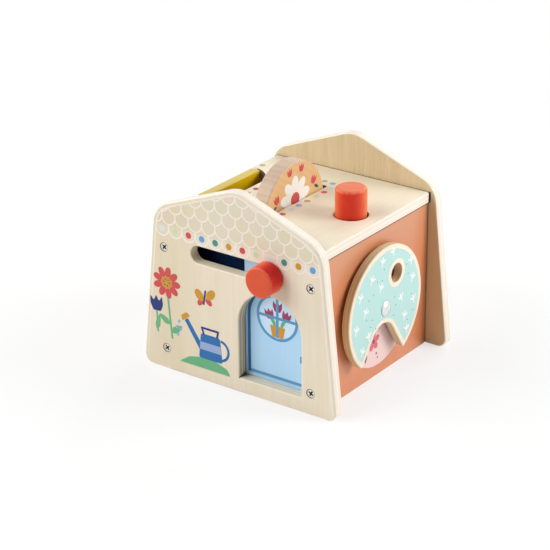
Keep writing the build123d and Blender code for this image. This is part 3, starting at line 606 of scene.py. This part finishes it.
# Garden print at the lower left: a daisy, a tulip, a watering can and a butterfly
daisy = (-62, 68.5)
can = [(-34, 17.5), (-13, 17.5), (-15, 37), (-32, 37)]
spout = [(-31.5, 21), (-31.5, 28.5), (-43.5, 45.5), (-46.5, 43.5)]
rose = [(-41.5, 47.5), (-48.5, 42.5), (-49.5, 46.5), (-44.5, 50)]
mound = [(-52, 9.4), (-6, 9.4), (-9, 14.2), (-19, 17.6), (-31, 18.2), (-43, 15.6)]
print_set("garden", front, "house", {
    "green": (1, [cut_out(mound, 1.6), leaf(-59.5, 36, 12.5, 5.4, 148), leaf(-58.9, 30, 13, 5.6, 36),
                  leaf(-72.2, 28.5, 14, 4.6, 78), stroke(-61.3, 58, -58.2, 26, 1.7),
                  stroke(-71.8, 44, -71.2, 28, 1.5)]),
    "red": (2, blossom(*daisy, 9, 8.2, 8.4, 5.3)
            + [spot(at(-24.3, 62.8, -40, 6.6, 4.4)), spot(at(-31.8, 61.2, 50, 6.6, 4.4))]),
    "ochre": (3, [dot(*daisy, 9.5), cut_out(rose, 0.8), spot(at(-22.6, 68.6, 48, 10, 6.4)),
                  spot(at(-32.6, 66.4, 130, 10, 6.4))]),
    "navy": (4, [tulip(-71.8, 50, 11.5, 4), stroke(-27.2, 70.6, -28.8, 60.4, 1.5), stroke(-31, 41.5, -16.5, 41.5, 1.6),
                 stroke(-31, 41.5, -29.5, 37.2, 1.6), stroke(-16.5, 41.5, -17.5, 37.2, 1.6)]
             + seeds(*daisy, 2.6, 1.1)),
    "blue": (2, [cut_out(can, 1.8), cut_out(spout, 0.7), arc_band(-15.2, 27.5, 8.6, 6.6, -84, 168, 24)]),
    "periwinkle": (3, [cut_out([(-33.2, 24.4), (-13.9, 24.4), (-14.5, 30.4), (-32.6, 30.4)], 0.3),
                       spot(at(-51.4, 41, 60, 3.0, 2.0)), spot(at(-53.6, 36, 70, 3.0, 2.0)),
                       spot(at(-50.2, 35.2, 66, 3.0, 2.0)), spot(at(-52.6, 30.4, 74, 3.0, 2.0))]),
})

# Dots round the openings of the roof
roof = lying_on("roof_panel", "top")
roof_dots = {
    "red": [(5.3, 23.6), (5.3, -27.6), (-18.6, -26.0)], "pale_green": [(5.3, 13.6), (-18.6, 25.6)],
    "drab": [(5.3, 2.5), (-18.6, -15.6), (-38.9, -9.4)], "periwinkle": [(5.3, -7.6), (-18.6, 15.2), (0.9, 41.2)],
    "sage": [(-6.9, 41.8), (-18.6, -36.2), (-63.4, 42.3)], "magenta": [(-38.8, 0.9), (-18.6, 36.4)],
    "sky": [(-18.6, 4.8), (-46.3, 36.0)], "pale_blue": [(5.3, -16.8), (5.3, 33.6), (-18.6, -5.4)],
}
print_set("roof_dots", roof, "house", {
    colour: (1, [dot(x, y, 4.7) for x, y in places]) for colour, places in roof_dots.items()
})

# The door's print: an arched line, and a round window with a pot of tulips behind its bars
door = lying_on("sliding_door", "front")
window, arch = (28.8, 61.5), (28.9, 58.8)
line_foot, line_top = 14.2, 58.9
print_set("door_print", door, "door", {
    "pane_blue": (1, [dot(*window, 33, 64)]),
    "green": (2, [leaf(27.5, 54.5, 10, 3.0, 118), leaf(31.5, 54.5, 10, 3.0, 60), stroke(29.4, 54, 28.9, 66, 0.9),
                  stroke(26.8, 54, 22.6, 60.5, 0.9), stroke(32.2, 54, 36.4, 61.5, 0.9)]),
    "magenta": (3, [tulip(22.0, 63.4, 7.6, 14), tulip(36.6, 64.6, 7.6, -14), tulip(29.0, 70.2, 8.0, 0)]),
    "ochre": (4, [cut_out([(24.4, 46.6), (33.8, 46.6), (35.6, 55.2), (22.6, 55.2)], 0.9)]),
    "frame_blue": (5, [arc_band(*window, 17.6, 15.5, 0, 360, 96), block(27.7, 46.5, 29.9, 76.5),
                       block(12.8, 60.3, 44.8, 62.4), arc_band(*arch, 25.5, 23.2, 0, 90, 32),
                       block(52.1, line_foot, 54.4, line_top), block(3.5, line_foot, 54.3, line_foot + 2.3)]),
    # Painted shade: the arch's left half and the left line are a darker blue, standing for the jamb's shadow
    "blue": (6, [arc_band(*arch, 25.5, 23.2, 90, 90, 32), block(3.4, line_foot, 5.7, line_top),
                 block(48.4, 32.2, 50.6, 37.6, 0.8)]),
})

# The night scene that the door uncovers
scene = lying_on("front_scene_board", "front")
sky_stars = [(10, 70, 4.2), (20, 77, 3.2), (16, 58, 3.0), (48, 48, 3.4), (7, 46, 3.6), (30, 60, 2.8), (50, 76, 3.2),
             (26, 46, 2.6), (-14, 97, 3.0), (-38, 99, 3.6)]
print_set("night_scene", scene, "house", {
    "moon": (1, [dot(38, 67, 15, 40)]),
    "white": (1, [star(x, y, s, 9 * x) for x, y, s in sky_stars]),
    "deep_teal": (2, [cut_out([(-8, 9), (66, 9), (57, 24), (44, 30), (30, 24), (17, 19), (2, 26), (-8, 20)], 3.0)]),
    "green": (3, [leaf(10 + 11 * k, 18 + 2 * (k % 2), 12, 4.4, 90 + 8 * (-1) ** k) for k in range(4)]),
})

# The round disc's print: a white daisy with a red middle
peek = lying_on("peek_disc", "right")
white_daisy = (-4.1, 122.8)
print_set("peek_print", peek, "peek", {
    "white": (1, blossom(*white_daisy, 9, 10.4, 15.0, 8.4, 10)),
    "red": (3, [dot(*white_daisy, 10.6), tulip(-26.5, 129.0, 6.4, 24), tulip(18.8, 131.0, 6.4, -24),
                tulip(-10.6, 144.6, 5.6, 8), tulip(3.6, 144.4, 5.6, -8)]),
    "deep_teal": (4, seeds(*white_daisy, 2.9, 1.0)
                  + [leaf(-26.5, 124.6, 6.4, 2.4, 214), leaf(19.6, 126.6, 6.4, 2.4, -34)]),
})


# The turning disc's turquoise print, which leaves a bare margin round its edge, its notch and its finger hole
DISC_RADIUS, DISC_HEIGHT, BARE_MARGIN = 46.7, 56.0, 3.4
NOTCH_VERTEX, NOTCH_SIDES, NOTCH_RADIUS = Vector((-2.5, 56.7)), (-126.0, -56.8), 15.5
FINGER_HOLE, FINGER_HOLE_RADIUS = (13.43, 78.61), 7.2


def disc_field():
    """The notched round less its margin, with a round hole in it."""
    rim_steps, crown_steps = 120, 24
    centre, reach, bow = Vector((0, DISC_HEIGHT)), DISC_RADIUS - BARE_MARGIN, NOTCH_RADIUS + BARE_MARGIN
    half = radians(NOTCH_SIDES[1] - NOTCH_SIDES[0]) / 2
    down = radians(sum(NOTCH_SIDES) / 2)
    turn_centre = NOTCH_VERTEX + NOTCH_RADIUS / sin(half) * Vector((cos(down), sin(down)))
    tips, bends = [], []
    for side, outward in zip(NOTCH_SIDES, (-90, 90)):
        along = Vector((cos(radians(side)), sin(radians(side))))
        away = Vector((cos(radians(side + outward)), sin(radians(side + outward))))
        bend = turn_centre + bow * away
        from_centre = bend - centre
        lean = from_centre.dot(along)
        run = (lean * lean + reach * reach - from_centre.length_squared) ** 0.5 - lean
        bends.append(bend)
        tips.append(bend + run * along)
    left, right = (atan2(tip.y - centre.y, tip.x - centre.x) for tip in tips)
    rim = [right + (left + 2 * pi - right) * k / rim_steps for k in range(rim_steps + 1)]
    outline = [(centre.x + reach * cos(a), centre.y + reach * sin(a)) for a in rim]
    first, last = (atan2(bend.y - turn_centre.y, bend.x - turn_centre.x) for bend in bends)
    crown = [first + (last - first) * k / crown_steps for k in range(crown_steps + 1)]
    outline += [(turn_centre.x + bow * cos(a), turn_centre.y + bow * sin(a)) for a in crown]
    patch = bmesh.new()
    corners = [patch.verts.new((y, z, 0)) for y, z in outline]
    for pair in zip(corners, corners[1:] + corners[:1]):
        patch.edges.new(pair)
    bmesh.ops.create_circle(patch, cap_ends=False, segments=56, radius=FINGER_HOLE_RADIUS + BARE_MARGIN,
                            matrix=at(*FINGER_HOLE))
    bmesh.ops.triangle_fill(patch, edges=patch.edges[:], use_beauty=True, use_dissolve=False, normal=(0, 0, 1))
    return patch


disc = lying_on("turning_disc", "right")
sprigs = [(98, 37), (124, 33), (150, 38), (112, 19), (168, 27), (186, 38), (214, 26), (218, 38), (-10, 37),
          (2, 20), (18, 36), (-32, 29), (-44, 39), (78, 41), (38, 41)]
golden_angle = 137.5
flecks = [(12.0 + (17 * k) % 28, 23 + golden_angle * k) for k in range(34)]


def polar(turn, reach):
    """A place on the disc, by its turn in degrees and its distance from the bolt."""
    return reach * cos(radians(turn)), DISC_HEIGHT + reach * sin(radians(turn))


def sprig(turn, reach):
    """Three short strokes that fan out from a stalk. Each sprig leans its own way."""
    spread, tip, stalk = 56, (3.6, 1.35), (3.0, 1.0)
    y, z = polar(turn, reach)
    lean = 90 + 28 * sin(turn)
    ends = [(lean + fan, *tip) for fan in (-spread, 0, spread)] + [(lean + 180, *stalk)]
    return [stroke(y, z, y + long * cos(radians(a)), z + long * sin(radians(a)), wide) for a, long, wide in ends]


def is_clear(turn, reach):
    """Whether a fleck keeps clear of the finger hole, the notch and every sprig."""
    y, z = polar(turn, reach)
    taken = [(*FINGER_HOLE, 13.0)] + [(*polar(*place), 5.66) for place in sprigs]
    return not 222 < turn % 360 < 312 and all(hypot(y - across, z - up) > room for across, up, room in taken)


print_set("disc_print", disc, "spinner", {
    "turquoise": (1, [disc_field()]),
    "white": (2, [line for place in sprigs for line in sprig(*place)]),
    "teal": (2, [spot(at(*polar(turn, reach), turn, 1.3, 0.8), 10) for reach, turn in flecks if is_clear(turn, reach)]),
})

# The round print on the wall behind it: blossoms that the notch shows one at a time
wall = lying_on("right_wall", "right")
blossoms = [polar(-94 + 72 * k, 28) for k in range(5)]
print_set("wall_print", wall, "house", {
    "pink": (1, [dot(4.2, 49.3, 82.8, 128)]),
    "rose": (2, [petal for y, z in blossoms for petal in blossom(y, z, 5, 4.5, 6.0, 5.0, 18)]),
    "plum": (3, [dot(y, z, 3.4) for y, z in blossoms]
             + [leaf(y - 8.5, z - 6.5, 7.5, 2.6, 250) for y, z in blossoms]
             + [spot(at(y + 3.6, z - 10.5, 0, 1.7, 2.2)) for y, z in blossoms]
             + [spot(at(y + 5.2, z - 14.2, 0, 1.3, 1.7)) for y, z in blossoms]),
})


# ---- Cross-head screws that stand for the plain CAD ones

def countersunk_screw():
    """One screw, its head's top at z 0: a spun outline, and a tapered cross sunk in the head."""
    head, neck, shank, rim, length, tip = 3.33, 1.62, 1.66, 0.18, 27.8, 3.4
    arm, half, cross_depth, taper = 2.3, 0.6, 1.5, 0.42
    screw = bmesh.new()
    outline = [(head - rim, 0), (head, -rim), (shank, -neck - rim), (shank, tip - length), (0, -length)]
    points = [screw.verts.new((r, 0, z)) for r, z in outline]
    edges = [screw.edges.new(pair) for pair in zip(points, points[1:])]
    bmesh.ops.spin(screw, geom=points + edges, cent=(0, 0, 0), axis=(0, 0, 1), dvec=(0, 0, 0),
                   angle=2 * pi, steps=40, use_merge=True, use_duplicate=False)
    bmesh.ops.remove_doubles(screw, verts=screw.verts[:], dist=0.001)
    top = [e for e in screw.edges if e.is_boundary and all(abs(v.co.z) < 0.001 for v in e.verts)]
    corners = [(arm, half), (half, half), (half, arm), (-half, arm), (-half, half), (-arm, half), (-arm, -half),
               (-half, -half), (-half, -arm), (half, -arm), (half, -half), (arm, -half)]
    cross = [screw.verts.new((x, y, 0)) for x, y in corners]
    mouth = [screw.edges.new((cross[k], cross[k - 1])) for k in range(len(cross))]
    bmesh.ops.triangle_fill(screw, edges=top + mouth, use_beauty=True, use_dissolve=False, normal=(0, 0, 1))
    sunk = bmesh.ops.extrude_edge_only(screw, edges=mouth)["geom"]
    low = [v for v in sunk if isinstance(v, bmesh.types.BMVert)]
    bmesh.ops.scale(screw, verts=low, vec=(taper, taper, 1))
    bmesh.ops.translate(screw, verts=low, vec=(0, 0, -cross_depth))
    bmesh.ops.edgeloop_fill(screw, edges=[e for e in sunk if isinstance(e, bmesh.types.BMEdge)])
    bmesh.ops.recalc_face_normals(screw, faces=screw.faces[:])
    mesh = bpy.data.meshes.new("screw")
    screw.to_mesh(mesh)
    screw.free()
    return mesh


def countersink_shade_ring(x, z):
    """A painted shade round a countersunk hole, wider on one side of the screw's head."""
    outer, inner, aside = 3.5, 3.1, (-0.25, -0.08)
    ring = bmesh.new()
    bmesh.ops.create_circle(ring, cap_ends=False, segments=40, radius=outer, matrix=at(*aside))
    bmesh.ops.create_circle(ring, cap_ends=False, segments=40, radius=inner)
    bmesh.ops.bridge_loops(ring, edges=ring.edges[:])
    ring.transform(at(x, z))
    return ring


def gable_screws(node, side, turns, finish):
    """Four screws at the CAD screws' places, each stopped at its own angle."""
    low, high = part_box(node)
    out = -1 if side == "front" else 1
    face = low.y if out < 0 else high.y
    head = 3.35 * MM
    places = [(x, z) for x in (low.x + head, high.x - head) for z in (low.z + head, high.z - head)]
    stand = Matrix.Rotation(radians(-90 * out), 4, "X")
    one = countersunk_screw()
    whole = bmesh.new()
    for (x, z), turn in zip(places, turns):
        screw = bmesh.new()
        screw.from_mesh(one)
        screw.transform(Matrix.Translation((x, face, z)) @ Matrix.Scale(MM, 4) @ stand
                        @ Matrix.Rotation(radians(turn), 4, "Z"))
        placed = bpy.data.meshes.new("placed")
        screw.to_mesh(placed)
        screw.free()
        whole.from_mesh(placed)
        bpy.data.meshes.remove(placed)
    bpy.data.meshes.remove(one)
    piece = piece_from(whole, node + "_cross_head", finish, "house")
    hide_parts(node)
    # Painted shade: a dark ring printed round each screw head, wider on one side
    rims = [countersink_shade_ring(x / MM, z / MM) for x, z in places]
    turned = Matrix(((1, 0, 0), (0, 0, 1), (0, out, 0))).transposed().to_4x4()
    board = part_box("front_panel")[0].y if out < 0 else face
    printed(node + "_rims", rims, Matrix.Translation((0, board, 0)) @ turned @ Matrix.Scale(MM, 4), "countersink_shade", "house")


def dome_bolt():
    """The turning disc's bolt: a polished dome with a thin rim on a plain shank, spun round the X axis."""
    low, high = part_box("disc_pivot_bolt")
    rim, shank, tall, lip, ease, chamfer, steps = 5.8, 2.5, 2.3, 0.25, 0.08, 0.4, 14
    front, back, tail = high.x / MM, high.x / MM - tall, low.x / MM
    ball = (rim ** 2 + (tall - lip) ** 2) / (2 * (tall - lip))
    widest = atan2(rim, ball - tall + lip)
    dome = [(front - ball + ball * cos(widest * k / steps), ball * sin(widest * k / steps)) for k in range(steps + 1)]
    outline = dome + [(back + ease, rim), (back, rim - ease), (back, shank), (tail + chamfer, shank),
                      (tail, shank - chamfer), (tail, 0)]
    bolt = bmesh.new()
    points = [bolt.verts.new((x, 0, r)) for x, r in outline]
    edges = [bolt.edges.new(pair) for pair in zip(points, points[1:])]
    bmesh.ops.spin(bolt, geom=points + edges, cent=(0, 0, 0), axis=(1, 0, 0), dvec=(0, 0, 0),
                   angle=2 * pi, steps=64, use_merge=True, use_duplicate=False)
    bmesh.ops.remove_doubles(bolt, verts=bolt.verts[:], dist=0.001)
    bmesh.ops.recalc_face_normals(bolt, faces=bolt.faces[:])
    middle_y, middle_z = (low.y + high.y) / 2, (low.z + high.z) / 2
    bolt.transform(Matrix.Translation((0, middle_y, middle_z)) @ Matrix.Scale(MM, 4))
    chrome = steel("dome_chrome", (0.86, 0.87, 0.88), 0.10, 0.1)
    piece = piece_from(bolt, "domed_bolt", chrome, "house", smooth=True)
    piece.data.set_sharp_from_angle(angle=radians(35))
    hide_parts("disc_pivot_bolt")


dome_bolt()
screw_finish = steel("screw_steel", (0.85, 0.79, 0.69), 0.30, 0.25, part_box("back_screws")[1].y / MM - 0.05)
gable_screws("front_screws", "front", (38, 50, 61, 44), screw_finish)
gable_screws("back_screws", "back", (12, 71, 33, 55), screw_finish)


# ---- Finishes of the CAD pieces

def give(finish, *names):
    """Puts a finish on every material slot of the named CAD pieces."""
    for name in names:
        mesh = nodes[name].data
        if not mesh.materials:
            mesh.materials.append(finish)
        for count in range(len(mesh.materials)):
            mesh.materials[count] = finish


def middle_and_thickness(node, axis):
    """Where a board's middle lies along an axis and how thick it is there, in millimetres."""
    low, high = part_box(node)
    return (low[axis] + high[axis]) / 2 / MM, (high[axis] - low[axis]) / MM


ROOF_PALE, ROOF_TAN = (0.85, 0.765, 0.605), (0.815, 0.725, 0.55)
DISC_PALE, DISC_TAN = (0.86, 0.78, 0.64), (0.80, 0.70, 0.53)
DISC_PLIES = ((0.78, 0.635, 0.40), (0.62, 0.465, 0.24), 0.4)
TERRACOTTA, SHEEN_TERRACOTTA = (0.66, 0.235, 0.100), (0.615, 0.262, 0.132)
MUSTARD, MUSTARD_TOP = (0.76, 0.487, 0.002), (0.62, 0.48, 0.10)
DOOR_BLUE, NIGHT_BLUE = (0.445, 0.695, 0.93), (0.003, 0.026, 0.10)

give(printed_gable("printed_gable", *middle_and_thickness("front_panel", Y)), "front_panel")
give(back_gable("back_gable", *middle_and_thickness("back_panel", Y)), "back_panel")
give(plywood("roof_plywood", Z, Y, *middle_and_thickness("roof_panel", Z), ROOF_PALE, ROOF_TAN, cut_within=64.0,
             joint=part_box("roof_panel")[1].y / MM), "roof_panel")
give(plywood("left_wall_plywood", X, Z, *middle_and_thickness("left_wall", X)), "left_wall")
give(plywood("base_plywood", Z, Y, *middle_and_thickness("base_panel", Z)), "base_panel")
give(plywood("disc_plywood", X, Z, *middle_and_thickness("turning_disc", X), DISC_PALE, DISC_TAN, DISC_PLIES),
     "turning_disc")
give(painted_board("terracotta_paint", TERRACOTTA, X, Z, low=0.26, high=0.38, upper=SHEEN_TERRACOTTA,
                   joint=(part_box("right_wall")[1].y / MM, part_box("roof_panel")[0].z / MM),
                   Coat_Weight=0.3, Coat_Roughness=0.3), "right_wall")
give(painted_board("mustard_paint", MUSTARD, X, Z, top=MUSTARD_TOP, Specular_IOR_Level=0.3), "side_flap")
give(painted_board("door_blue", DOOR_BLUE, Y, Z, middle_and_thickness("sliding_door", Y), Specular_IOR_Level=0.4),
     "sliding_door")
give(painted_board("night_blue", NIGHT_BLUE, Y, X, low=0.5, high=0.7, Specular_IOR_Level=0.15), "front_scene_board")
give(turned_lacquer("knob_lacquer", side=(0.75, 0.004, 0.004), end=(0.71, 0.086, 0.028), axis=Y,
                    shade_axis=(0.80, 0.0, 0.60), lit_tone=(0.84, 0.085, 0.025), bounds=(0.45, 0.92)), "door_knob")
give(turned_lacquer("button_lacquer", side=(0.73, 0.036, 0.014), end=(0.76, 0.170, 0.075), axis=Z,
                    shade_axis=(0.50, -0.866, 0.0), lit_tone=(0.74, 0.155, 0.044), bounds=(0.35, 0.97)), "push_button")
give(solid_disc_wood("peek_disc_wood"), "peek_disc")
give(plain_wood("upright_wood", Z), "side_partition", "flap_stop_front", "flap_stop_back", "peek_stem", "button_stem",
     "rocker_bracket")
give(plain_wood("lengthwise_wood", X), "door_guide_lower", "door_guide_upper", "mechanism_shelf", "rocker_lever")
give(plain_wood("crosswise_wood", Y), "peek_collar", "button_flange", "shelf_cleat_left", "shelf_cleat_right",
     "disc_spacer")
give(steel("pin_steel", (0.60, 0.60, 0.60), 0.34), "flap_hinge_pins", "rocker_pin", "disc_washer", "disc_nut",
     "knob_screw")


# ---- Floor, light and camera

def pale_floor():
    """A matt white floor that keeps the house's soft shadow and is plain white further off."""
    sheet = bmesh.new()
    bmesh.ops.create_grid(sheet, x_segments=1, y_segments=1, size=4.0)
    mesh = bpy.data.meshes.new("floor")
    sheet.to_mesh(mesh)
    sheet.free()
    f = Finish("white_floor", 0.9, Base_Color=(0.93, 0.93, 0.93, 1), Specular_IOR_Level=0.0)
    shadow_middle, near, far, near_white = (80.0, 60.0, 0.0), 120.0, 750.0, 0.64
    away = f.add("VectorMath", {0: f.place, 1: shadow_middle}, operation="DISTANCE").outputs["Value"]
    fade = f.add("MapRange", {"Value": away, "From Min": near, "From Max": far, "To Min": near_white, "To Max": 1.0},
                 interpolation_type="SMOOTHSTEP").outputs[0]
    seen = f.add("LightPath").outputs
    white = f.sum("MULTIPLY", f.sum("MAXIMUM", seen["Is Camera Ray"], seen["Is Glossy Ray"]), fade)
    glow = f.add("Emission", {"Strength": 1.0}).outputs[0]
    shared = f.add("MixShader", {0: white, 1: f.surface.outputs[0], 2: glow}).outputs[0]
    f.tree.links.new(shared, f.tree.nodes["Material Output"].inputs["Surface"])
    mesh.materials.append(f.material)
    floor = bpy.data.objects.new("floor", mesh)
    bpy.context.scene.collection.objects.link(floor)


def studio_world():
    """White behind everything and in reflections, and a plain even light on the house."""
    world = bpy.data.worlds.new("studio")
    bpy.context.scene.world = world
    world.use_nodes = True
    tree, even_light = world.node_tree, 0.07
    seen = add_node(tree, "LightPath").outputs
    shown = seen["Is Camera Ray"]
    for ray in ("Is Glossy Ray", "Is Transmission Ray"):
        shown = add_node(tree, "Math", {0: shown, 1: seen[ray]}, operation="MAXIMUM").outputs[0]
    level = add_node(tree, "MapRange", {"Value": shown, "To Min": even_light, "To Max": 1.0}).outputs[0]
    back = tree.nodes["Background"]
    back.inputs["Color"].default_value = (1, 1, 1, 1)
    tree.links.new(level, back.inputs["Strength"])


def softbox(name, place, size, power):
    """A square lamp that looks at the middle of the house."""
    light = bpy.data.lights.new(name, "AREA")
    light.shape = "SQUARE"
    light.size = size
    light.energy = power
    lamp = bpy.data.objects.new(name, light)
    lamp.location = place
    house_middle = Vector((0, 0, 0.06))
    aim = house_middle - Vector(place)
    lamp.rotation_euler = aim.to_track_quat("-Z", "Y").to_euler()
    bpy.context.scene.collection.objects.link(lamp)


def photograph_camera():
    """The photograph's viewpoint, worked out from the house's own edges."""
    focal_pixels, photo_pixels, sensor = 1988.0, 550.0, 36.0
    downward, bearing, roll = 23.89, 36.01, -0.40
    lens = bpy.data.cameras.new("camera")
    lens.sensor_width = sensor
    lens.lens = focal_pixels * sensor / photo_pixels
    lens.clip_end = 20.0
    camera = bpy.data.objects.new("camera", lens)
    camera.location = (0.76016, -1.07582, 0.64611)
    turn = Euler((radians(90 - downward), 0, radians(bearing)), "XYZ").to_matrix()
    camera.rotation_euler = (turn @ Matrix.Rotation(radians(roll), 3, "Z")).to_euler()
    bpy.context.scene.collection.objects.link(camera)
    bpy.context.scene.camera = camera


pale_floor()
studio_world()
softbox("front_left_softbox", (-0.85, -1.15, 1.05), 1.3, 23.0)
softbox("right_back_softbox", (1.25, 0.75, 0.95), 0.9, 19.0)
softbox("left_softbox", (-1.5, -0.2, 0.9), 0.9, 11.0)
softbox("back_softbox", (0.0, 1.4, 1.0), 0.9, 9.0)
softbox("right_softbox", (1.5, 0.45, 0.6), 0.9, 6.0)
photograph_camera()
bpy.context.scene.view_settings.view_transform = "Standard"
